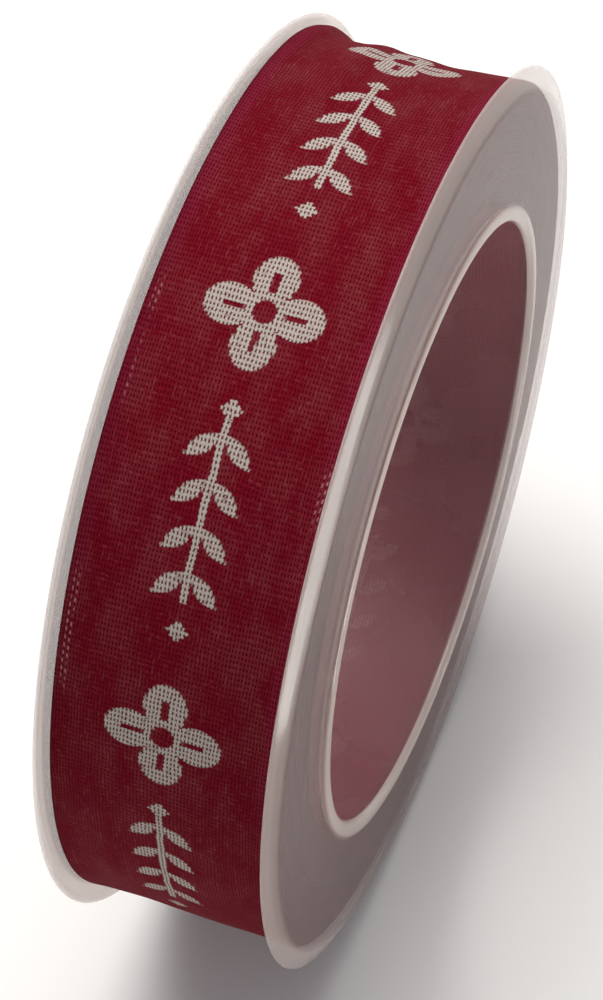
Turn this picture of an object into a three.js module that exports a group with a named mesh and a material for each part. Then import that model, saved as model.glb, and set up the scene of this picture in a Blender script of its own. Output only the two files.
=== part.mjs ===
// Roll of ribbon on a plastic spool, standing on its two rims.
// Millimetres, +Z up. X is the spool's axis, and Z is zero on the surface it stands on.

import * as THREE from 'three';

// Spool
const RIM_RADIUS = 52.5;
const BORE_RADIUS = 35;
const SPACE_BETWEEN_FLANGES = 25.4;
const FLANGE_THICKNESS = 0.97;
const TUBE_WALL = 1.2;
const TUBE_SEAT_DEPTH = 0.55;
const CLEARANCE = 0.3;

// Rim, from the inner face round to the outer one: it is set in towards the ribbon, with a slope
// inside, a level edge and a wide bevel outside. Distances below the rim and outside the inner face.
const RIM_SECTION = [
  { below: 1.1, outside: 0 },
  { below: 0.5, outside: -0.28 },
  { below: 0.15, outside: -0.32 },
  { below: 0, outside: -0.22 },
  { below: 0, outside: -0.05 },
  { below: 0.1, outside: 0.06 },
  { below: 1.5, outside: 0.56 },
  { below: 3, outside: FLANGE_THICKNESS },
];

// Lip: the bead that stands proud round the bore
const LIP_HEIGHT = 0.35;
const LIP_ROLL = 0.7;
const LIP_WIDTH = 2;

// Flat spot on each rim
const FLAT_SPOT_DEPTH = 0.12;

// Ribbon, wound from the tube outwards
const RIBBON_WIDTH = 24.2;
const RIBBON_THICKNESS = 0.3;
const WOUND_RADIUS = 50.15;
const SELVAGE_RISE = 0.12;
const SELVAGE_REACH = 1.1;
const CUT_END_ANGLE = -35;
const CUT_END_SLOPE = 0.4;

// The last turns wander from side to side over the ones below, to the left at the top
const WANDER = 0.3;
const WANDER_ANGLE = 50;
const WANDER_SPREAD = 32;
const LOOSE_DEPTH = 2.2;
const INNER_TURNS_WIDTH = 24.6;

// Where the wound surface swells or sinks: place across and around, height, and how far it spreads
const SWELLS = [
  { across: 0, around: 46, rise: 0.2, reach: 12, spread: 45 },
  { across: -11.5, around: 48, rise: 1.1, reach: 1.5, spread: 24 },
  { across: -4.6, around: 46, rise: 0.36, reach: 1.6, spread: 34 },
  { across: 3.2, around: 46, rise: -0.27, reach: 2.4, spread: 40 },
  { across: 11, around: 60, rise: 0.3, reach: 3, spread: 50 },
  { across: -5, around: 211, rise: -0.22, reach: 4.5, spread: 40 },
  { across: 5.5, around: 135, rise: 0.14, reach: 2.6, spread: 40 },
  { across: -2.5, around: 125, rise: -0.12, reach: 2.4, spread: 38 },
];

// Steps of the turned forms
const TURN_STEPS = 96;
const ACROSS_STEPS = 20;
const CURVE_STEPS = 4;

const innerFace = SPACE_BETWEEN_FLANGES / 2;
const outerFace = innerFace + FLANGE_THICKNESS;
const seatFloor = innerFace + TUBE_SEAT_DEPTH;
const tubeEnd = seatFloor - CLEARANCE;
const tubeOuter = BORE_RADIUS + TUBE_WALL;
const windingStart = tubeOuter + CLEARANCE;
const axleHeight = RIM_RADIUS - FLAT_SPOT_DEPTH;
const radians = THREE.MathUtils.degToRad;

const materials = {
  plastic: new THREE.MeshStandardMaterial({ color: 0xb9b1aa, roughness: 0.38, metalness: 0 }),
  core: new THREE.MeshStandardMaterial({ color: 0xa89a96, roughness: 0.42, metalness: 0 }),
  cloth: new THREE.MeshStandardMaterial({ color: 0x6e0c1c, roughness: 0.85, metalness: 0 }),
};

// Quarter of an ellipse about (x, r), from one angle in quarter turns to the next
function quarter(centre, halfX, halfR, fromQuarter, toQuarter) {
  const points = [];
  for (let step = 0; step <= CURVE_STEPS; step++) {
    const turn = THREE.MathUtils.lerp(fromQuarter, toQuarter, step / CURVE_STEPS) * Math.PI / 2;
    points.push({ x: centre.x + halfX * Math.cos(turn), r: centre.r + halfR * Math.sin(turn) });
  }
  return points;
}

// Section of a flange: the tube's seat, the inner face, the rim, the outer face and the lip
function flangeSection() {
  const rim = RIM_SECTION.map(({ below, outside }) => ({
    x: innerFace + outside,
    r: RIM_RADIUS - below,
  }));
  const lipCrown = BORE_RADIUS + LIP_ROLL;
  const lipOutside = { x: outerFace, r: lipCrown };
  const lipInside = { x: outerFace + LIP_HEIGHT - LIP_ROLL, r: lipCrown };
  return [
    { x: seatFloor, r: BORE_RADIUS },
    { x: seatFloor, r: windingStart },
    { x: innerFace, r: windingStart },
    ...rim,
    ...quarter(lipOutside, LIP_HEIGHT, LIP_WIDTH - LIP_ROLL, 1, 0),
    ...quarter(lipInside, LIP_ROLL, LIP_ROLL, 0, -1).slice(1),
  ];
}

// Closed section of { x, r } points, turned about the X axis
function turned(section) {
  const outline = [...section, section[0]].map(({ x, r }) => new THREE.Vector2(r, x));
  const geometry = new THREE.LatheGeometry(outline, TURN_STEPS);
  geometry.rotateZ(-Math.PI / 2);
  return geometry;
}

// The rim is level where it stands, so that the spool doesn't roll
function flattenUnderneath(geometry) {
  const position = geometry.getAttribute('position');
  for (let index = 0; index < position.count; index++) {
    position.setZ(index, Math.max(position.getZ(index), -axleHeight));
  }
  return geometry;
}

function makeFlange(name, facing) {
  const mesh = new THREE.Mesh(flattenUnderneath(turned(flangeSection())), materials.plastic.clone());
  mesh.name = name;
  mesh.rotation.z = facing;
  return mesh;
}

function makeTube() {
  const section = [
    { x: -tubeEnd, r: tubeOuter },
    { x: tubeEnd, r: tubeOuter },
    { x: tubeEnd, r: BORE_RADIUS },
    { x: -tubeEnd, r: BORE_RADIUS },
  ];
  const mesh = new THREE.Mesh(turned(section), materials.core.clone());
  mesh.name = 'core_tube';
  return mesh;
}

// Angles are in degrees about the X axis, from +Y towards +Z
function angleBetween(first, second) {
  return THREE.MathUtils.euclideanModulo(first - second + 180, 360) - 180;
}

function bell(distance, reach) {
  return Math.exp(-((distance / reach) ** 2));
}

// Radius of the wound surface at a place across the width and around the roll
function woundRadius(across, around, turnsFromEnd) {
  const fromEdge = RIBBON_WIDTH / 2 - Math.abs(across);
  let radius = WOUND_RADIUS - RIBBON_THICKNESS * turnsFromEnd;
  radius += SELVAGE_RISE * bell(fromEdge, SELVAGE_REACH);
  for (const swell of SWELLS) {
    const aside = bell(across - swell.across, swell.reach);
    radius += swell.rise * aside * bell(angleBetween(around, swell.around), swell.spread);
  }
  return radius;
}

// How far the last turns stand to the right of the middle
function wander(around) {
  return WANDER * (1 - 2 * bell(angleBetween(around, WANDER_ANGLE), WANDER_SPREAD));
}

// Section of the roll at one angle: the wound surface, the right side, the inside and the left side
function rollSection(around, turnsFromEnd) {
  const middle = wander(around);
  const innerHalf = INNER_TURNS_WIDTH / 2;
  const looseStart = WOUND_RADIUS - LOOSE_DEPTH;
  const points = [];
  for (let step = 0; step <= ACROSS_STEPS; step++) {
    const across = RIBBON_WIDTH * (step / ACROSS_STEPS - 0.5);
    points.push({ x: middle + across, r: woundRadius(across, around, turnsFromEnd) });
  }
  points.push(
    { x: innerHalf, r: looseStart },
    { x: innerHalf, r: windingStart },
    { x: -innerHalf, r: windingStart },
    { x: -innerHalf, r: looseStart },
  );
  return points;
}

// Rings of points joined into one closed band; each ring is a section at its own angle
function bandOf(rings) {
  const count = rings[0].length;
  const positions = rings.flat().flatMap((point) => point.toArray());
  const indices = [];
  for (let ring = 0; ring < rings.length; ring++) {
    const next = (ring + 1) % rings.length;
    for (let point = 0; point < count; point++) {
      const after = (point + 1) % count;
      const a = ring * count + point;
      const b = ring * count + after;
      const c = next * count + after;
      const d = next * count + point;
      indices.push(a, c, b, a, d, c);
    }
  }
  const geometry = new THREE.BufferGeometry();
  geometry.setAttribute('position', new THREE.Float32BufferAttribute(positions, 3));
  geometry.setIndex(indices);
  geometry.computeVertexNormals();
  return geometry;
}

// One spiral turn of the outermost layer, from its cut end round to the step underneath that end
function makeRoll() {
  const rings = [];
  for (let step = 0; step <= TURN_STEPS; step++) {
    const turnsFromEnd = step / TURN_STEPS;
    const around = CUT_END_ANGLE + (360 - CUT_END_SLOPE) * turnsFromEnd;
    const turn = radians(around);
    rings.push(rollSection(around, turnsFromEnd).map(
      ({ x, r }) => new THREE.Vector3(x, r * Math.cos(turn), r * Math.sin(turn)),
    ));
  }
  const mesh = new THREE.Mesh(bandOf(rings), materials.cloth.clone());
  mesh.name = 'ribbon_roll';
  return mesh;
}

const spool = new THREE.Group();
spool.add(makeTube());
spool.add(makeFlange('flange_right', 0));
spool.add(makeFlange('flange_left', Math.PI));
spool.add(makeRoll());
spool.position.z = axleHeight;

const group = new THREE.Group();
group.add(spool);

export default group;
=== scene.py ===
# %% [markdown]
# A roll of woven ribbon on a milky plastic spool, as a trimmings shop keeps it. The CAD model gives the
# frame: one tube, two flanges and one solid for all the wound ribbon. Here each of them gets the shape and
# finish that a close look needs. The sizes are those of the CAD model, so nothing has to be fitted by eye.

# %% Load the frame
import math

import bmesh
import bpy
from mathutils import Matrix, Vector, noise


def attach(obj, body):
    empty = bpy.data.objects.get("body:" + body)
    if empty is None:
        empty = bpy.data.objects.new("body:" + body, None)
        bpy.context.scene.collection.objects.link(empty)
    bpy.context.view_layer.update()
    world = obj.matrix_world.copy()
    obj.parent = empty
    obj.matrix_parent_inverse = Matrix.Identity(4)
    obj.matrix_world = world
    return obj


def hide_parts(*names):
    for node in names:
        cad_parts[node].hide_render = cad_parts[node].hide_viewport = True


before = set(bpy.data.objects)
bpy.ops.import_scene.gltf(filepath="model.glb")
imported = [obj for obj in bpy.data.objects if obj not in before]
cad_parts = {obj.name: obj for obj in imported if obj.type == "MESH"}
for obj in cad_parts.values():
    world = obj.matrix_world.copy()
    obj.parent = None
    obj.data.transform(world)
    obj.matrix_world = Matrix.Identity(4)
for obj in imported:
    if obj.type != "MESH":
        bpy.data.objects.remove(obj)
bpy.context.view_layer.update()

# %% [markdown]
# Sizes are easier to read in millimetres, which is how a maker would give them. Blender works in metres, so
# every point passes through one helper. X runs along the spool's axis, and the angle round the roll starts
# at the back, where Y points, and goes up and over to the front.

# %% Sizes of the spool and the ribbon
MM = 0.001
RIM_RADIUS = 52.5
BORE_RADIUS = 35.0
INNER_FACE = 12.7
FLANGE_THICKNESS = 0.97
TUBE_WALL = 1.2
SEAT_DEPTH = 0.55
END_PLAY = 0.05
PLAY_ROUND_TUBE = 0.3
FLAT_SPOT_DEPTH = 0.12

SEAT_FLOOR = INNER_FACE + SEAT_DEPTH
TUBE_END = SEAT_FLOOR - END_PLAY
WINDING_START = BORE_RADIUS + TUBE_WALL + PLAY_ROUND_TUBE
AXLE_HEIGHT = RIM_RADIUS - FLAT_SPOT_DEPTH

RIBBON_WIDTH = 24.2
LAYER = 0.3
CLOTH = 0.22
WOUND_RADIUS = 50.15
CUT_END_ANGLE = -35.0
TURNS = (WOUND_RADIUS - WINDING_START - LAYER) / LAYER
print("turns on the spool:", round(TURNS, 1))


def place(across, radius, around):
    """Point in metres, from millimetres along the axis, millimetres from it and degrees round it."""
    turn = math.radians(around)
    up = AXLE_HEIGHT + radius * math.sin(turn)
    return Vector((across, radius * math.cos(turn), up)) * MM


# %% [markdown]
# The camera is set first, so that each piece can be judged as soon as it stands there. A pinhole camera was
# fitted to the rim, the bore and the ribbon's edges. It looks down at about fifty degrees through a long
# lens.

# %% Camera
CAMERA_RIGHT = Vector((0.93764, 0.34761, 0.0))
CAMERA_UP = Vector((-0.26408, 0.71235, 0.65025))
CAMERA_FROM_AXLE = Vector((0.07754, -0.21573, 0.26633))
FOCAL_LENGTH = 110.87
SENSOR_WIDTH = 36.0
NEAR_LIMIT = 0.01

lens = bpy.data.cameras.new("camera")
lens.lens = FOCAL_LENGTH
lens.sensor_width = SENSOR_WIDTH
lens.clip_start = NEAR_LIMIT
camera = bpy.data.objects.new("camera", lens)
bpy.context.scene.collection.objects.link(camera)
back = CAMERA_RIGHT.cross(CAMERA_UP)
axes = Matrix((CAMERA_RIGHT, CAMERA_UP, back)).transposed()
stand = CAMERA_FROM_AXLE + Vector((0, 0, AXLE_HEIGHT * MM))
camera.matrix_world = Matrix.Translation(stand) @ axes.to_4x4()
bpy.context.scene.camera = camera
print("camera stands at", tuple(round(value, 3) for value in stand))

# %% [markdown]
# The roll stands on a plain pale table. The key light is a wide soft box overhead, a little to the back and
# left, so the right flange is in open shade and mirrors the table, and the top of the roll is the brightest
# part of the cloth. A weak fill comes from the front. A low panel on the right, facing up, shows only in
# glossy surfaces. Its mirror image is the bright stripe on the bevel of the right rim.

# %% Table and lights
TABLE_SIZE = 8.0
HEART = (0, 0, 0.05)
KEY_PLACE = (-0.26, 0.3, 1.1)
FILL_PLACE = (-0.2, -1.3, 0.9)
PANEL_PLACE = (0.153, 0.038, 0.002)
PANEL_TURN = 51
SKY_COLOUR = (0.93, 0.95, 1.0)
SKY_STRENGTH = 0.3


def new_object(name, mesh):
    """Object at the world's origin that shows a mesh."""
    piece = bpy.data.objects.new(name, mesh)
    bpy.context.scene.collection.objects.link(piece)
    return piece


def soft_box(name, where, size, power, colour):
    """Rectangular light at a place, its size in metres and its power in watts; it faces down."""
    box = bpy.data.lights.new(name, "AREA")
    box.shape = "RECTANGLE"
    box.size, box.size_y = size
    box.energy = power
    box.color = colour
    lamp = bpy.data.objects.new(name, box)
    bpy.context.scene.collection.objects.link(lamp)
    lamp.location = where
    return lamp


def aim(lamp, target):
    """Turns a light towards a point."""
    towards = Vector(target) - lamp.location
    lamp.rotation_euler = towards.to_track_quat("-Z", "Y").to_euler()


shape = bmesh.new()
bmesh.ops.create_grid(shape, x_segments=1, y_segments=1, size=TABLE_SIZE / 2)
mesh = bpy.data.meshes.new("table")
shape.to_mesh(mesh)
shape.free()
table = new_object("table", mesh)

aim(soft_box("key", KEY_PLACE, size=(0.9, 0.9), power=16.5, colour=(1.0, 0.97, 0.93)), HEART)
aim(soft_box("fill", FILL_PLACE, size=(1.2, 0.8), power=1.6, colour=(1.0, 0.98, 0.96)), HEART)
panel = soft_box("panel", PANEL_PLACE, size=(0.177, 0.05), power=0.26, colour=(1.0, 0.98, 0.95))
panel.rotation_euler = (math.pi, 0, math.radians(PANEL_TURN))
panel.visible_camera = False
panel.visible_diffuse = False
panel.visible_transmission = False

world = bpy.data.worlds.new("studio")
bpy.context.scene.world = world
world.use_nodes = True
sky = world.node_tree.nodes["Background"]
sky.inputs["Color"].default_value = (*SKY_COLOUR, 1)
sky.inputs["Strength"].default_value = SKY_STRENGTH
bpy.context.scene.view_settings.view_transform = "Standard"

# %% [markdown]
# Patterns such as a weave are sums and products of numbers that vary over a surface. In the shader editor
# each sum is a Math node. A small class lets the same thing be written as arithmetic, which is shorter to
# read, and every operator still adds one ordinary node.


# %% Arithmetic that adds nodes
class Field:
    """A number that varies over the surface."""

    def __init__(self, tree, socket):
        self.tree = tree
        self.socket = socket

    def math(self, operation, *others):
        step = self.tree.nodes.new("ShaderNodeMath")
        step.operation = operation
        for place_in, value in zip(step.inputs, (self, *others)):
            if isinstance(value, Field):
                self.tree.links.new(value.socket, place_in)
            else:
                place_in.default_value = value
        return Field(self.tree, step.outputs[0])

    def __add__(self, other):
        return self.math("ADD", other)

    def __sub__(self, other):
        return self.math("SUBTRACT", other)

    def __mul__(self, other):
        return self.math("MULTIPLY", other)

    def __truediv__(self, other):
        return self.math("DIVIDE", other)

    def sin(self):
        return self.math("SINE")

    def cos(self):
        return self.math("COSINE")

    def size(self):
        return self.math("ABSOLUTE")

    def power(self, exponent):
        return self.math("POWER", exponent)

    def floor(self):
        return self.math("FLOOR")

    def wrapped(self, low, high):
        return self.math("WRAP", high, low)

    def lowest(self, other):
        return self.math("MINIMUM", other)

    def highest(self, other):
        return self.math("MAXIMUM", other)

    def rising(self, low, high):
        """Nought below low, one above high and a smooth step between them."""
        step = self.tree.nodes.new("ShaderNodeMapRange")
        step.interpolation_type = "SMOOTHSTEP"
        step.inputs["From Min"].default_value = low
        step.inputs["From Max"].default_value = high
        self.tree.links.new(self.socket, step.inputs["Value"])
        return Field(self.tree, step.outputs["Result"])

    def falling(self, low, high):
        """One below low, nought above high."""
        step = self.rising(low, high)
        step.socket.node.inputs["To Min"].default_value = 1
        step.socket.node.inputs["To Max"].default_value = 0
        return step

    def between(self, colour_low, colour_high):
        """Colour that goes from one to the other; each is a colour or a socket of one."""
        step = self.tree.nodes.new("ShaderNodeMix")
        step.data_type = "RGBA"
        self.tree.links.new(self.socket, step.inputs[0])
        for slot_in, colour in ((step.inputs[6], colour_low), (step.inputs[7], colour_high)):
            if isinstance(colour, bpy.types.NodeSocket):
                self.tree.links.new(colour, slot_in)
            else:
                slot_in.default_value = (*colour, 1)
        return step.outputs[2]


def vector_of(tree, x, y, z=0.0):
    """Vector socket from three fields or numbers."""
    joined = tree.nodes.new("ShaderNodeCombineXYZ")
    for slot_in, value in zip(joined.inputs, (x, y, z)):
        if isinstance(value, Field):
            tree.links.new(value.socket, slot_in)
        else:
            slot_in.default_value = value
    return joined.outputs[0]


def cloudy(tree, vector, scale, detail=2.0, roughness=0.5):
    """Soft noise about one half."""
    cloud = tree.nodes.new("ShaderNodeTexNoise")
    cloud.inputs["Scale"].default_value = scale
    cloud.inputs["Detail"].default_value = detail
    cloud.inputs["Roughness"].default_value = roughness
    tree.links.new(vector, cloud.inputs["Vector"])
    return Field(tree, cloud.outputs["Fac"])


def new_finish(name):
    """Material with its node tree and its Principled shader."""
    material = bpy.data.materials.new(name)
    material.use_nodes = True
    tree = material.node_tree
    return material, tree, tree.nodes["Principled BSDF"]


def raised(tree, shader, height, depth):
    """Bump from a height field, whose unit is depth in metres."""
    relief = tree.nodes.new("ShaderNodeBump")
    relief.inputs["Strength"].default_value = 1.0
    relief.inputs["Distance"].default_value = depth
    tree.links.new(height.socket, relief.inputs["Height"])
    tree.links.new(relief.outputs["Normal"], shader.inputs["Normal"])


def place_on_object(tree):
    """The three object coordinates as fields, in millimetres."""
    source = tree.nodes.new("ShaderNodeTexCoord")
    parts = tree.nodes.new("ShaderNodeSeparateXYZ")
    tree.links.new(source.outputs["Object"], parts.inputs[0])
    return [Field(tree, part) / MM for part in parts.outputs]


# %% [markdown]
# The table needs only a pale matt finish with the faintest unevenness, so that nothing draws the eye from
# the roll.

# %% Table finish
PAPER_LOW = (0.86, 0.855, 0.85)
PAPER_HIGH = (0.9, 0.895, 0.89)
PAPER_SCALE = 0.02

table_finish, tree, shader = new_finish("table_paper")
x, y = place_on_object(tree)[:2]
paper = cloudy(tree, vector_of(tree, x, y), PAPER_SCALE)
tree.links.new(paper.between(PAPER_LOW, PAPER_HIGH), shader.inputs["Base Color"])
shader.inputs["Roughness"].default_value = 0.9
shader.inputs["Specular IOR Level"].default_value = 0.1
table.data.materials.append(table_finish)
print("table finish:", table_finish.name)

# %% [markdown]
# A flange is an injection-moulded disc. Its section is drawn once, with small rounds where the mould has
# them, and spun about the axle. Bevel on single points rounds the corners before the spin, so the round is
# part of the form. The table of points runs from the tube's seat over the inner face, the rim, the outer
# bevel and the lip, back down into the bore. Where the roll stands, the rim is cut level by lifting all
# that is lower.

# %% Flange section
LIP_HEIGHT = 0.35
LIP_ROLL = 0.7
LIP_WIDTH = 2.0
LIP_CROWN = BORE_RADIUS + LIP_ROLL


def quarter(along, radius, half_along, half_radius, start, end, steps=6):
    """Points on a quarter of an ellipse about a centre, from one angle in quarter turns to the next."""
    points = []
    for step in range(steps + 1):
        turn = (start + (end - start) * step / steps) * math.pi / 2
        point = (along + half_along * math.cos(turn), radius + half_radius * math.sin(turn), 0.0)
        points.append(point)
    return points


# along the axis from the inner face, radius, radius of the round at that corner
FLANGE_SECTION = [
    (SEAT_DEPTH, BORE_RADIUS, 0.1),
    (SEAT_DEPTH, WINDING_START, 0.1),
    (0.0, WINDING_START, 0.12),
    (0.0, RIM_RADIUS - 1.1, 0.35),
    (-0.28, RIM_RADIUS - 0.5, 0.15),
    (-0.32, RIM_RADIUS - 0.15, 0.08),
    (-0.22, RIM_RADIUS, 0.08),
    (-0.05, RIM_RADIUS, 0.06),
    (0.06, RIM_RADIUS - 0.1, 0.1),
    (0.56, RIM_RADIUS - 1.5, 0.3),
    (FLANGE_THICKNESS, RIM_RADIUS - 3.0, 0.25),
    *quarter(FLANGE_THICKNESS, LIP_CROWN, LIP_HEIGHT, LIP_WIDTH - LIP_ROLL, 1, 0),
    *quarter(FLANGE_THICKNESS + LIP_HEIGHT - LIP_ROLL, LIP_CROWN, LIP_ROLL, LIP_ROLL, 0, -1)[1:],
]
print("points in the flange's section:", len(FLANGE_SECTION))

# %% [markdown]
# One function spins a section. Edges sharper than forty degrees keep their crease, and weighted normals
# keep the flat faces flat in the light, so that the shine doesn't smear from a round onto the face beside
# it.

# %% Flanges
SPIN_STEPS = 192
ROUND_STEPS = 3
SHARP_ANGLE = 40
MERGE_DISTANCE = 1e-7


def spun(name, section, side):
    """Closed section turned about the axle; side is 1 for the right flange and -1 for the left one."""
    turned = bmesh.new()
    corners = []
    for along, radius, soft in section:
        corner = turned.verts.new(place(side * along, radius, 0))
        corners.append((corner, soft))
    ring = [corner for corner, soft in corners]
    for here, following in zip(ring, ring[1:] + ring[:1]):
        turned.edges.new((here, following))
    for corner, soft in corners:
        if not soft:
            continue
        bmesh.ops.bevel(
            turned, geom=[corner], offset=soft * MM, offset_type="OFFSET", segments=ROUND_STEPS,
            profile=0.5, affect="VERTICES", material=-1,
        )
    bmesh.ops.spin(
        turned, geom=turned.verts[:] + turned.edges[:], cent=(0, 0, AXLE_HEIGHT * MM), axis=(1, 0, 0),
        angle=math.tau, steps=SPIN_STEPS, use_merge=True,
    )
    bmesh.ops.remove_doubles(turned, verts=turned.verts, dist=MERGE_DISTANCE)
    for vert in turned.verts:
        vert.co.z = max(vert.co.z, 0.0)
    bmesh.ops.recalc_face_normals(turned, faces=turned.faces)
    for face in turned.faces:
        face.smooth = True
    made = bpy.data.meshes.new(name)
    turned.to_mesh(made)
    turned.free()
    made.set_sharp_from_angle(angle=math.radians(SHARP_ANGLE))
    print(name, len(made.polygons), "faces")
    piece = new_object(name, made)
    piece.modifiers.new("flat_faces", "WEIGHTED_NORMAL").keep_sharp = True
    return piece


flange_section = [(INNER_FACE + along, radius, soft) for along, radius, soft in FLANGE_SECTION]
flanges = {
    "flange_right": spun("right_flange", flange_section, 1),
    "flange_left": spun("left_flange", flange_section, -1),
}
for node, piece in flanges.items():
    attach(piece, "root")
    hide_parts(node)

# %% [markdown]
# The tube is pressed into the seats of both flanges. Only its inside shows, through the bore, and its wall
# is thin enough for the first turn of the ribbon to show through it.

# %% Core tube
TUBE_ROUND = 0.1
TUBE_SECTION = [
    (-TUBE_END, BORE_RADIUS + TUBE_WALL, TUBE_ROUND),
    (TUBE_END, BORE_RADIUS + TUBE_WALL, TUBE_ROUND),
    (TUBE_END, BORE_RADIUS, TUBE_ROUND),
    (-TUBE_END, BORE_RADIUS, TUBE_ROUND),
]
tube = spun("core", TUBE_SECTION, 1)
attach(tube, "root")
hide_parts("core_tube")

# %% [markdown]
# The ribbon is made as the real one is: a flat strip, cut to length and wound on. A grid is the flat strip,
# and each of its points is then moved to its place on the spiral. The last turns lie a little slack, with a
# raised left edge at the top and some long shallow waves, and they wander from side to side. That looseness
# fades inwards, because every turn presses on those below.

# %% Where the cloth lies
SELVAGE_RISE = 0.12
SELVAGE_REACH = 1.1
WANDER = 0.3
WANDER_ANGLE = 50.0
WANDER_SPREAD = 32.0
LOOSE_TURNS = 7.5
INNER_DRIFT = 0.13
DRIFT_BEATS = (2.39, 0.71)
RIPPLE = 0.05
RIPPLES_PER_METRE = 130

# across, around, rise, reach across and spread around of each long wave
SWELLS = [
    (0, 46, 0.2, 12, 45),
    (-11.5, 48, 1.1, 1.5, 24),
    (-4.6, 46, 0.36, 1.6, 34),
    (3.2, 46, -0.27, 2.4, 40),
    (11, 60, 0.3, 3, 50),
    (-5, 211, -0.22, 4.5, 40),
    (5.5, 135, 0.14, 2.6, 40),
    (-2.5, 125, -0.12, 2.4, 38),
]


def bell(distance, reach):
    """One in the middle, fading to nought past the reach."""
    return math.exp(-((distance / reach) ** 2))


def angle_between(first, second):
    """Degrees from the second angle to the first, the short way round."""
    return (first - second + 180) % 360 - 180


def length_from_end(turn):
    """Millimetres of ribbon between the cut end and a place that many turns further in."""
    return math.tau * (WOUND_RADIUS * turn - LAYER * turn * turn / 2)


def wound(across, turn):
    """Place on the spiral of a point of the flat strip."""
    around = CUT_END_ANGLE + 360 * turn
    slack = max(0.0, 1 - turn / LOOSE_TURNS)
    radius = WOUND_RADIUS - LAYER * turn
    radius += SELVAGE_RISE * bell(RIBBON_WIDTH / 2 - abs(across), SELVAGE_REACH)
    for aside, where, rise, reach, spread in SWELLS:
        swell = rise * bell(across - aside, reach) * bell(angle_between(around, where), spread)
        radius += slack * swell
    ripple_at = place(across, WOUND_RADIUS, around) * RIPPLES_PER_METRE
    radius += slack * RIPPLE * noise.noise(ripple_at)
    to_side = WANDER * (1 - 2 * bell(angle_between(around, WANDER_ANGLE), WANDER_SPREAD))
    quick, slow = DRIFT_BEATS
    drift = INNER_DRIFT * math.sin(turn * quick) * math.cos(turn * slow)
    middle = slack * to_side + (1 - slack) * drift
    return place(middle + across, radius, around)


print("ribbon on the spool:", round(length_from_end(TURNS) * MM, 2), "m")

# %% [markdown]
# The strip is cut in three where nothing shows, so that the turns that show can be fine and the many hidden
# ones plain. The outermost piece has the cut end, the innermost one lies on the core, and both carry the
# same pattern, whose coordinates are millimetres across and along the flat strip.

# %% Wind the strip
OUTER_TURNS = 1.55
INNER_TURNS = 1.1
# name, first turn from the cut end, last turn, steps a turn, squares across
STRIPS = [
    ("ribbon_last_turns", 0.0, OUTER_TURNS, 200, 36),
    ("ribbon_middle_turns", OUTER_TURNS, TURNS - INNER_TURNS, 72, 6),
    ("ribbon_first_turn", TURNS - INNER_TURNS, TURNS, 144, 14),
]


def face_outwards(strip):
    """Turns the strip's faces over if they look towards the axle."""
    middle = strip.faces[:][len(strip.faces) // 2]
    outwards = middle.calc_center_median() - Vector((0, 0, AXLE_HEIGHT * MM))
    outwards.x = 0
    middle.normal_update()
    if middle.normal.dot(outwards) < 0:
        bmesh.ops.reverse_faces(strip, faces=strip.faces)


def wind(name, first, last, steps, squares):
    """Strip of ribbon from one turn to another, flat at first and then wound."""
    strip = bmesh.new()
    rows = round((last - first) * steps)
    bmesh.ops.create_grid(strip, x_segments=squares, y_segments=rows, size=1.0)
    threads = strip.loops.layers.uv.new("threads")
    bmesh.ops.scale(strip, vec=(RIBBON_WIDTH / 2, (last - first) / 2, 1), verts=strip.verts)
    bmesh.ops.translate(strip, vec=(0, (first + last) / 2, 0), verts=strip.verts)
    for face in strip.faces:
        face.smooth = True
        for loop in face.loops:
            across, turn = loop.vert.co.x, loop.vert.co.y
            loop[threads].uv = (across, length_from_end(turn))
    for vert in strip.verts:
        vert.co = wound(vert.co.x, vert.co.y)
    face_outwards(strip)
    made = bpy.data.meshes.new(name)
    strip.to_mesh(made)
    strip.free()
    piece = new_object(name, made)
    cloth = piece.modifiers.new("cloth", "SOLIDIFY")
    cloth.thickness = CLOTH * MM
    cloth.offset = -1
    long = (length_from_end(last) - length_from_end(first)) * MM
    print(name, rows, "rows,", round(long, 3), "m of ribbon")
    return piece, long


ribbon = []
for name, first, last, steps, squares in STRIPS:
    piece, long = wind(name, first, last, steps, squares)
    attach(piece, "root")
    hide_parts("ribbon_roll")
    ribbon.append(piece)

# %% [markdown]
# The print is a flower with four petals, then a small diamond, a sprig of paired leaves and a diamond
# again, over and over. It is drawn with arithmetic on the flat strip, in millimetres: a petal is a wave
# round the flower's middle, and a leaf is a half wave along its own slanted line.

# %% Printed pattern
REPEAT = 46.0
MOTIF_SHIFT = 10.5
PETAL_LENGTH = 4.1
PETAL_WAIST = 2.2
PETAL_FULLNESS = 0.8
FLOWER_EDGE = (-0.2, 0.12)
FLOWER_HEART = (1.2, 1.4)
VEIN_HALF = (0.45, 0.65)
VEIN_STARTS = (2.1, 2.25)
VEIN_ENDS = (4.35, 4.5)
SPRIG_HALF = 9.5
SPRIG_END = (9.4, 9.5)
STEM_HALF = (0.3, 0.5)
LEAF_PITCH = 4.75
LEAF_FOOT = 1.3
LEAF_SLANT = (0.74, 0.67)
LEAF_START = 0.4
LEAF_LENGTH = 4.3
LEAF_HALF = 0.85
LEAF_EDGE = (-0.15, 0.1)
LEAF_TIP = 0.02
DIAMOND_HALF = (1.1, 1.3)


def flower(across, along):
    """Four petals round an open heart, each with an open vein."""
    reach = (across.power(2) + along.power(2)).power(0.5)
    turn = across.math("ARCTAN2", along)
    petal = (turn * 2).cos().size().power(PETAL_FULLNESS) * PETAL_LENGTH + PETAL_WAIST
    bloom = (petal - reach).rising(*FLOWER_EDGE)
    heart = reach.rising(*FLOWER_HEART)
    beside_vein = ((turn * 2).sin().size() * reach).rising(*VEIN_HALF)
    open_vein = beside_vein.highest(reach.rising(*VEIN_ENDS)).highest(reach.falling(*VEIN_STARTS))
    return bloom * heart * open_vein


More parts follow.
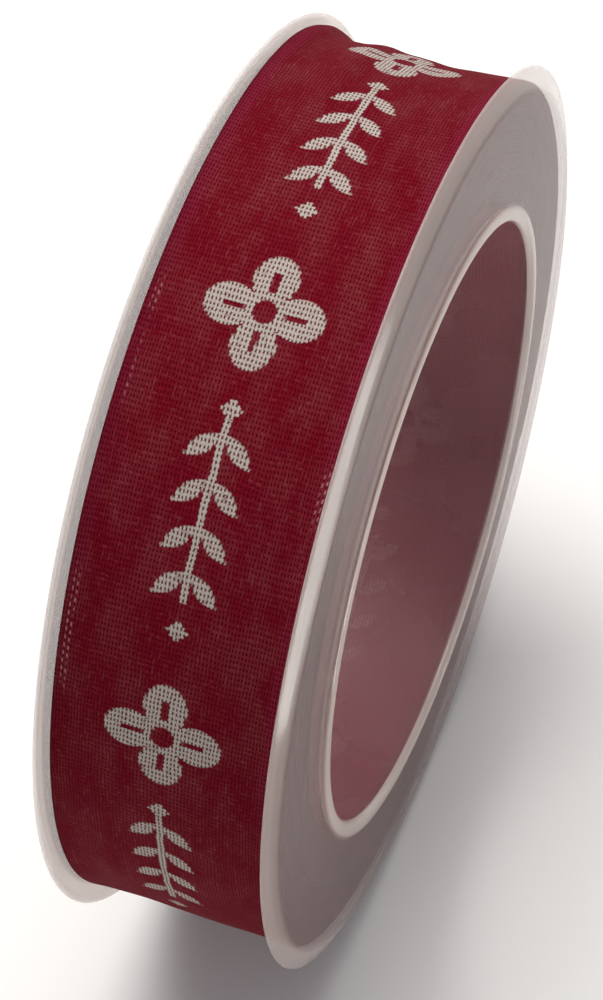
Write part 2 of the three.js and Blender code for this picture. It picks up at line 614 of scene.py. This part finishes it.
def sprig(across, along):
    """Straight stem with slanting leaves in pairs."""
    stem = across.size().falling(*STEM_HALF)
    pair = (along + SPRIG_HALF).wrapped(0.0, LEAF_PITCH) - LEAF_FOOT
    slant_out, slant_on = LEAF_SLANT
    outward = across.size() * slant_out + pair * slant_on
    sideways = pair * slant_out - across.size() * slant_on
    blade = (outward - LEAF_START) / LEAF_LENGTH
    leaf_half = (blade * math.pi).sin() * LEAF_HALF
    leaf = (leaf_half - sideways.size()).rising(*LEAF_EDGE)
    leaf = leaf * blade.rising(0.0, LEAF_TIP) * blade.falling(1.0 - LEAF_TIP, 1.0)
    return stem.highest(leaf) * along.size().falling(*SPRIG_END)


def ribbon_print(across, along):
    """Where the print is, from nought to one."""
    along_flower = along.wrapped(-REPEAT / 2, REPEAT / 2) + MOTIF_SHIFT
    along_sprig = along.wrapped(-REPEAT / 2, REPEAT / 2) - MOTIF_SHIFT
    along_diamond = along.wrapped(-REPEAT / 4, REPEAT / 4)
    diamonds = (across.size() + along_diamond.size()).falling(*DIAMOND_HALF)
    return flower(across, along_flower).highest(sprig(across, along_sprig)).highest(diamonds)


print("repeats of the pattern:", round(length_from_end(TURNS) / REPEAT))

# %% [markdown]
# The cloth is an open plain weave: one thread over, one under, about sixty-five across the width and closer
# together near the edges. Seen close, it is a chequer of rounded crossings with a gap at each corner. The
# gaps are painted dark, as the shade that falls into them over the red layer below. The gaps, the slubs of
# uneven yarn and the drift of the threads make the surface. The print lies on the threads alone, so its
# edges step from thread to thread. Two rows of small pale stitches come and go by each selvage.

# %% Weave
THREAD_ACROSS = 0.41
CROWDING = 0.00167
THREAD_ALONG = 0.595
DRIFT = 1.2
DRIFT_EACH_MM = 0.3
SHAKE = 0.45
SHAKES_EACH_MM = 1.7
OVER_RISE = 0.2
WARP_LOW = 0.8
WEFT_HIGH = 0.86
CROSSING_EDGE = (-0.15, 0.15)
OVERLAP_EDGE = (-0.08, 0.08)
GAP_EDGE = (0.55, 1.0)
YARN_STEP = 7.3
YARN_RUN = 0.4
YARN_DETAIL = 3.0
WORN_EDGE = (0.1, 0.45)
PATCHES_EACH_MM = (0.3, 0.12)
PATCH_EDGE = (0.35, 0.75)
PATCH_SHARE = 0.38
SLUB_EDGE = (0.48, 0.75)
SLUB_SHARE = 0.42
RUBBED_EACH_MM = (0.1, 0.025)
RUBBED_EDGE = (0.4, 0.62)
RUBBED_SHARE = 0.8
SELVAGE_WIDTH = 1.5
SELVAGE_FADE = 0.4
STITCH_ROWS = 11.2
STITCH_ROW_HALF = 0.22
STITCH_PITCH = 0.9
STITCH_SLANT = 0.8
STITCH_STRENGTH = 0.5
STITCH_SIDE = (0.05, 0.12)
STITCH_END = (0.2, 0.28)
STITCH_FADES_EACH_MM = (0.15, 0.06)
STITCH_FADE = (0.54, 0.66)
STITCH_WEAR = (0.3, 0.5)
WEAVE_RELIEF = 0.00006

RED_WARP = (0.15, 0.002, 0.011)
RED_WEFT = (0.135, 0.004, 0.009)
# painted shade: the red cloth below the openings between threads, darker than the thread tops
SHADED_GAP_RED = (0.08, 0.0004, 0.005)
DUSTY_RED = (0.195, 0.042, 0.05)
SELVAGE_RED = (0.18, 0.012, 0.033)
PRINT = (0.455, 0.41, 0.37)
# painted shade in the openings between printed threads
SHADED_PRINT_GAP = (0.1, 0.035, 0.035)
PRINT_LOW = 0.62
PRINT_RISE = 0.4
STITCH = (0.6, 0.32, 0.33)
SHEEN_TINT = (1.0, 0.5, 0.55)


def uneven(tree, across, along, fine_across, fine_along, detail=2.0):
    """Noise on the flat strip; the larger the two figures are, the finer it is that way."""
    return cloudy(tree, vector_of(tree, across * fine_across, along * fine_along), 1.0, detail)


def stitches_on(tree, across, along, slub, strength):
    """Two rows of slanting stitches by each selvage, worn away in places."""
    beside = across.size() - STITCH_ROWS
    row = (beside.size() - STITCH_ROW_HALF).size().falling(*STITCH_SIDE)
    step = (along / STITCH_PITCH + beside * STITCH_SLANT).wrapped(0.0, 1.0) - 0.5
    come_and_go = uneven(tree, across, along, *STITCH_FADES_EACH_MM).rising(*STITCH_FADE)
    return row * step.size().falling(*STITCH_END) * come_and_go * slub.rising(*STITCH_WEAR) * strength


def ribbon_finish(name, print_strength):
    """Woven cloth whose pattern follows the strip."""
    material, tree, shader = new_finish(name)
    lay = tree.nodes.new("ShaderNodeUVMap")
    lay.uv_map = "threads"
    parts = tree.nodes.new("ShaderNodeSeparateXYZ")
    tree.links.new(lay.outputs[0], parts.inputs[0])
    across, along = Field(tree, parts.outputs[0]), Field(tree, parts.outputs[1])

    # where each thread runs
    drift = (uneven(tree, across, along, DRIFT_EACH_MM, DRIFT_EACH_MM) - 0.5) * DRIFT
    shake = (uneven(tree, across, along, SHAKES_EACH_MM, SHAKES_EACH_MM) - 0.5) * SHAKE
    warp = across / THREAD_ACROSS + across * across * across * CROWDING + drift + shake
    weft = along / THREAD_ALONG + drift - shake

    # which thread is on top, and how high it stands
    over_side = (warp * math.pi).sin()
    over_end = (weft * math.pi).sin()
    warp_on_top = (over_side * over_end).rising(*CROSSING_EDGE)
    warp_height = over_side.size() * (warp_on_top * OVER_RISE + WARP_LOW)
    weft_height = over_end.size() * (warp_on_top * -OVER_RISE + WEFT_HIGH)
    warp_seen = (warp_height - weft_height).rising(*OVERLAP_EDGE)
    height = warp_height.highest(weft_height)

    # each yarn is thick and thin along its own length
    slub_warp = uneven(tree, warp.floor(), weft, YARN_STEP, YARN_RUN, YARN_DETAIL)
    slub_weft = uneven(tree, warp, weft.floor(), YARN_RUN, YARN_STEP, YARN_DETAIL)
    slub = slub_warp * warp_seen + slub_weft * (warp_seen * -1 + 1)
    thread = (height + slub * 0.4).rising(*GAP_EDGE)

    # the print takes one colour across a whole warp thread, and wears off the thin yarn
    middle_of_thread = across - ((warp - warp.floor()) - 0.5) * THREAD_ACROSS
    printed = ribbon_print(middle_of_thread, along) * slub.rising(*WORN_EDGE)
    printed = printed * (height * PRINT_RISE + PRINT_LOW).lowest(1.0) * print_strength

    # dyed thread, dusty in patches, and pinker where the selvage is rubbed
    plain = warp_seen.between(RED_WEFT, RED_WARP)
    patches = uneven(tree, across, along, *PATCHES_EACH_MM, YARN_DETAIL).rising(*PATCH_EDGE)
    dust = patches * PATCH_SHARE + slub.rising(*SLUB_EDGE) * SLUB_SHARE
    plain = dust.between(plain, DUSTY_RED)
    selvage_from = RIBBON_WIDTH / 2 - SELVAGE_WIDTH
    edge = across.size().rising(selvage_from - SELVAGE_FADE, selvage_from + SELVAGE_FADE)
    rubbed = uneven(tree, across, along, *RUBBED_EACH_MM).rising(*RUBBED_EDGE)
    plain = (edge * rubbed * RUBBED_SHARE).between(plain, SELVAGE_RED)
    top = printed.between(plain, PRINT)
    # painted shade in the gaps between threads, over the red layer below
    shaded_gap = printed.between(SHADED_GAP_RED, SHADED_PRINT_GAP)
    colour = thread.between(shaded_gap, top)

    stitches = stitches_on(tree, across, along, slub, print_strength * STITCH_STRENGTH)
    colour = stitches.between(colour, STITCH)
    tree.links.new(colour, shader.inputs["Base Color"])
    shader.inputs["Roughness"].default_value = 0.85
    shader.inputs["Specular IOR Level"].default_value = 0.03
    shader.inputs["Sheen Weight"].default_value = 0.03
    shader.inputs["Sheen Roughness"].default_value = 0.4
    shader.inputs["Sheen Tint"].default_value = (*SHEEN_TINT, 1)
    raised(tree, shader, height + slub * 0.3 + stitches * 0.5, WEAVE_RELIEF)
    return material


cloth_finish = ribbon_finish("ribbon_cloth", print_strength=0.97)
inner_finish = ribbon_finish("ribbon_reverse", print_strength=0.2)
last_turns, middle_turns, first_turn = ribbon
for piece in (last_turns, middle_turns):
    piece.data.materials.append(cloth_finish)
first_turn.data.materials.append(inner_finish)
print("ribbon finish nodes:", len(cloth_finish.node_tree.nodes))

# %% [markdown]
# The spool is a milky, see-through plastic. One millimetre of it hides about half of what is behind, so the
# dark roll tints the flat face, and the open rim stays lighter. The flat face is also painted darker and
# redder as shade from the roll, the rim and lip are painted paler as light through the plastic, and the
# core is painted darker and pinker as shade in the bore and as red light from the ribbon behind its wall.
# The lip is thicker and hides more. A little light also wanders inside the wall. Faint rings are left by
# the turned mould, and a fine straight line runs out from the bore where the melt met.

# %% Spool finishes
# painted shade: the web's milk is darker and redder than the plastic, for the dark roll behind it
SHADED_WEB_MILK = (0.265, 0.15, 0.145)
SHADED_WEB_MILK_PALE = (0.325, 0.188, 0.172)
# painted light: the rim and lip milk is paler, for light through the thin open rim and the lip
LIT_RIM_MILK = (0.77, 0.62, 0.565)
# painted shade and light: the core's milk is darker and pinker, for the shaded bore and the red ribbon's
# light through its wall
SHADED_CORE_MILK = (0.58, 0.28, 0.31)
SHADED_CORE_MILK_PALE = (0.64, 0.33, 0.36)
SHADED_CORE_EDGE_MILK = (0.6, 0.3, 0.33)
SCRATCH_WHITE = (0.95, 0.92, 0.88)
CLOUD_SCALE = 0.09
CLOUD_EDGE = (0.3, 0.7)
CLOUD_ROUGHNESS = 0.12
SWEEP_SCALE = 0.05
SWEEP_EDGE = (0.45, 0.62)
RINGS_EACH_MM = 2.6
RINGS_ROUND = 0.5
RING_EDGE = (0.58, 0.72)
LINE_SHARPNESS = 10.0
LINE_SHARE = 0.8
MARK_SHARE = 0.35
WELD_SHARE = 0.3
EDGE_SHARE = 0.4
WELD_ANGLE = 46
TURNED_PITCH = 0.7
PLASTIC_IOR = 1.48
LIGHT_REACH = 0.003
LIGHT_REACH_COLOUR = (1.0, 0.85, 0.7)
PLASTIC_RELIEF = 0.00002

# in millimetres, each the start and the end of a soft step; all are radii but the lip's outside, which is
# along the axis, and the weld's half width
LIP_FOOT = (36.4, 37.4)
LIP_OUTSIDE = (12.9, 13.2)
WEB_FROM = (37.4, 38.0)
TURNED_FROM = (40.6, 41.0)
TURNED_TO = (42.7, 43.2)
BEVEL_FROM = (49.5, 50.6)
RIM_EDGE = (51.9, 52.35)
WELD_FROM = (36.5, 37.5)
WELD_TO = (47.0, 48.5)
WELD_HALF = (0.05, 0.16)


def plastic_finish(name, shaded_milk, shaded_milk_pale, painted_edge_milk, cover, rim_cover, lip_cover, roughness):
    """Milky plastic; cover is how much of what lies behind is hidden by the web, the rim and the lip."""
    material, tree, shader = new_finish(name)
    x, y, z = place_on_object(tree)
    up = z - AXLE_HEIGHT
    radius = (y.power(2) + up.power(2)).power(0.5)
    around = up.math("ARCTAN2", y)

    # rings and marks of the mould
    clouds = cloudy(tree, vector_of(tree, y, z, x), CLOUD_SCALE, detail=3.0)
    stretched = vector_of(tree, radius * RINGS_EACH_MM, around * RINGS_ROUND)
    rings = cloudy(tree, stretched, 1.0, detail=3.0, roughness=0.7)
    sweep = cloudy(tree, vector_of(tree, y, z, x), SWEEP_SCALE).rising(*SWEEP_EDGE)
    lines = (radius * (math.pi / TURNED_PITCH)).sin().size().power(LINE_SHARPNESS)
    turned = lines * radius.rising(*TURNED_FROM) * radius.falling(*TURNED_TO)
    marks = rings.rising(*RING_EDGE) * sweep + turned * rings * LINE_SHARE
    marks = marks * radius.rising(*WEB_FROM)
    beside_weld = ((around - math.radians(WELD_ANGLE)) * radius).size()
    weld = beside_weld.falling(*WELD_HALF) * radius.falling(*WELD_TO) * radius.rising(*WELD_FROM)

    # web painted darker and redder as shade of the roll; rim and lip painted paler as light through them
    rim = radius.rising(*BEVEL_FROM)
    lip = radius.falling(*LIP_FOOT) * x.size().rising(*LIP_OUTSIDE)
    # painted shade: the web's darker, redder milk, clouded at random
    tint = clouds.rising(*CLOUD_EDGE).between(shaded_milk, shaded_milk_pale)
    # painted light: the rim and lip take the paler milk
    tint = rim.highest(lip).between(tint, painted_edge_milk)
    tint = (marks * MARK_SHARE).highest(weld * WELD_SHARE).between(tint, SCRATCH_WHITE)
    tree.links.new(tint, shader.inputs["Base Color"])

    rough = clouds * CLOUD_ROUGHNESS + (roughness - CLOUD_ROUGHNESS / 2)
    tree.links.new(rough.socket, shader.inputs["Roughness"])
    shader.inputs["IOR"].default_value = PLASTIC_IOR
    shader.inputs["Subsurface Weight"].default_value = 0.75
    shader.inputs["Subsurface Radius"].default_value = LIGHT_REACH_COLOUR
    shader.inputs["Subsurface Scale"].default_value = LIGHT_REACH
    thin = rim * (1.0 - EDGE_SHARE) + radius.rising(*RIM_EDGE) * EDGE_SHARE
    hides = thin * (rim_cover - cover) + lip * (lip_cover - cover) + cover
    tree.links.new(hides.socket, shader.inputs["Alpha"])
    raised(tree, shader, rings * 0.2 + marks * 0.4 + weld * 0.6, PLASTIC_RELIEF)
    return material


spool_finish = plastic_finish(
    "spool_plastic", SHADED_WEB_MILK, SHADED_WEB_MILK_PALE, LIT_RIM_MILK,
    cover=0.45, rim_cover=0.38, lip_cover=0.75, roughness=0.15,
)
core_finish = plastic_finish(
    "core_plastic", SHADED_CORE_MILK, SHADED_CORE_MILK_PALE, SHADED_CORE_EDGE_MILK,
    cover=0.24, rim_cover=0.24, lip_cover=0.24, roughness=0.4,
)
for piece in flanges.values():
    piece.data.materials.append(spool_finish)
tube.data.materials.append(core_finish)
print("spool finish nodes:", len(spool_finish.node_tree.nodes))
